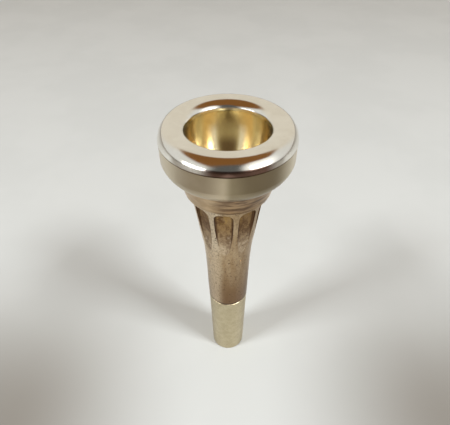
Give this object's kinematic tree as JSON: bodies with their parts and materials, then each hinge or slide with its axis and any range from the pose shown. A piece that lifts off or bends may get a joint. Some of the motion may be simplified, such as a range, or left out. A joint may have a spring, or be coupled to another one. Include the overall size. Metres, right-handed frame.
{
  "type": "brass mouthpiece",
  "caption": "Modular cup mouthpiece for a cornet: screw-on rim, golden cup, fluted stem and a tapered shank sleeve.",
  "frame": {"origin": "on the bore's axis, at the foot of the shank sleeve", "axes": "+Z along the bore from the shank to the rim, -Y is the front"},
  "size_m": [0.026, 0.0258, 0.0707],
  "materials": {
    "rim_plate": "polished silver plate on brass",
    "golden_brass": "polished inside, tarnished outside",
    "tarnished_brass": "worn plate with brown tarnish",
    "shank_plate": "satin worn plate on brass",
    "seal_rubber": "matt black rubber"
  },
  "bodies": {
    "shank_sleeve": {"shank_sleeve": "shank_plate"},
    "stem": {"stem": "tarnished_brass"},
    "stem_seal": {"stem_seal": "seal_rubber"},
    "cup": {"cup": "golden_brass"},
    "rim_seal": {"rim_seal": "seal_rubber"},
    "rim": {"rim": "rim_plate"}
  },
  "joints": [
    {"name": "sleeve_pull", "type": "slide", "parent": "shank_sleeve", "child": "stem", "axis": [0, 0, 1], "range_m": [0, 0.0225]},
    {"name": "cup_rise", "type": "slide", "parent": "stem", "child": "stem_seal", "axis": [0, 0, 1], "range_m": [0, 0.0046]},
    {"name": "cup_unscrew", "type": "hinge", "parent": "stem_seal", "child": "cup", "pos_m": [0, 0, 0.052], "axis": [0, 0, 1], "range_deg": [0, 1620]},
    {"name": "rim_unscrew", "type": "hinge", "parent": "cup", "child": "rim_seal", "pos_m": [0, 0, 0.066], "axis": [0, 0, 1], "range_deg": [0, 1620]},
    {"name": "rim_rise", "type": "slide", "parent": "rim_seal", "child": "rim", "axis": [0, 0, 1], "range_m": [0, 0.0046]}
  ],
  "couplings": [
    {"joint": "cup_rise", "follows": "cup_unscrew", "m_per_rad": 0.00015915},
    {"joint": "rim_rise", "follows": "rim_unscrew", "m_per_rad": 0.00015915}
  ]
}
